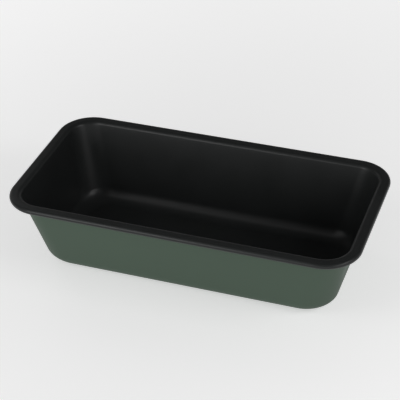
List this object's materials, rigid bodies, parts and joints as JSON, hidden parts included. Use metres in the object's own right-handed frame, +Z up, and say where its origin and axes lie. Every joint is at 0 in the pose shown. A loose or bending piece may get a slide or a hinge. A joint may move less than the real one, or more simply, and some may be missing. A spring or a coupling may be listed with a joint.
{
  "type": "loaf pan",
  "caption": "Rectangular steel loaf pan with tapered walls, rounded corners, a flat flange with a wired rolled rim, a non-stick lining and a coloured outside.",
  "frame": {"origin": "centre of the underside, on the surface that the pan stands on", "axes": "+X along the pan, +Y across it, +Z up through the open mouth"},
  "size_m": [0.3, 0.157, 0.071],
  "materials": {
    "bare_steel": "rolled steel sheet, seen only as the sheared edge of the curl",
    "wire_steel": "drawn steel wire",
    "black_nonstick": "satin black non-stick coating",
    "green_coat": "matte dark sage-green coating"
  },
  "bodies": {
    "root": {"steel_shell": "bare_steel", "rim_wire": "wire_steel", "nonstick_lining": "black_nonstick", "outer_coat": "green_coat"}
  },
  "joints": []
}
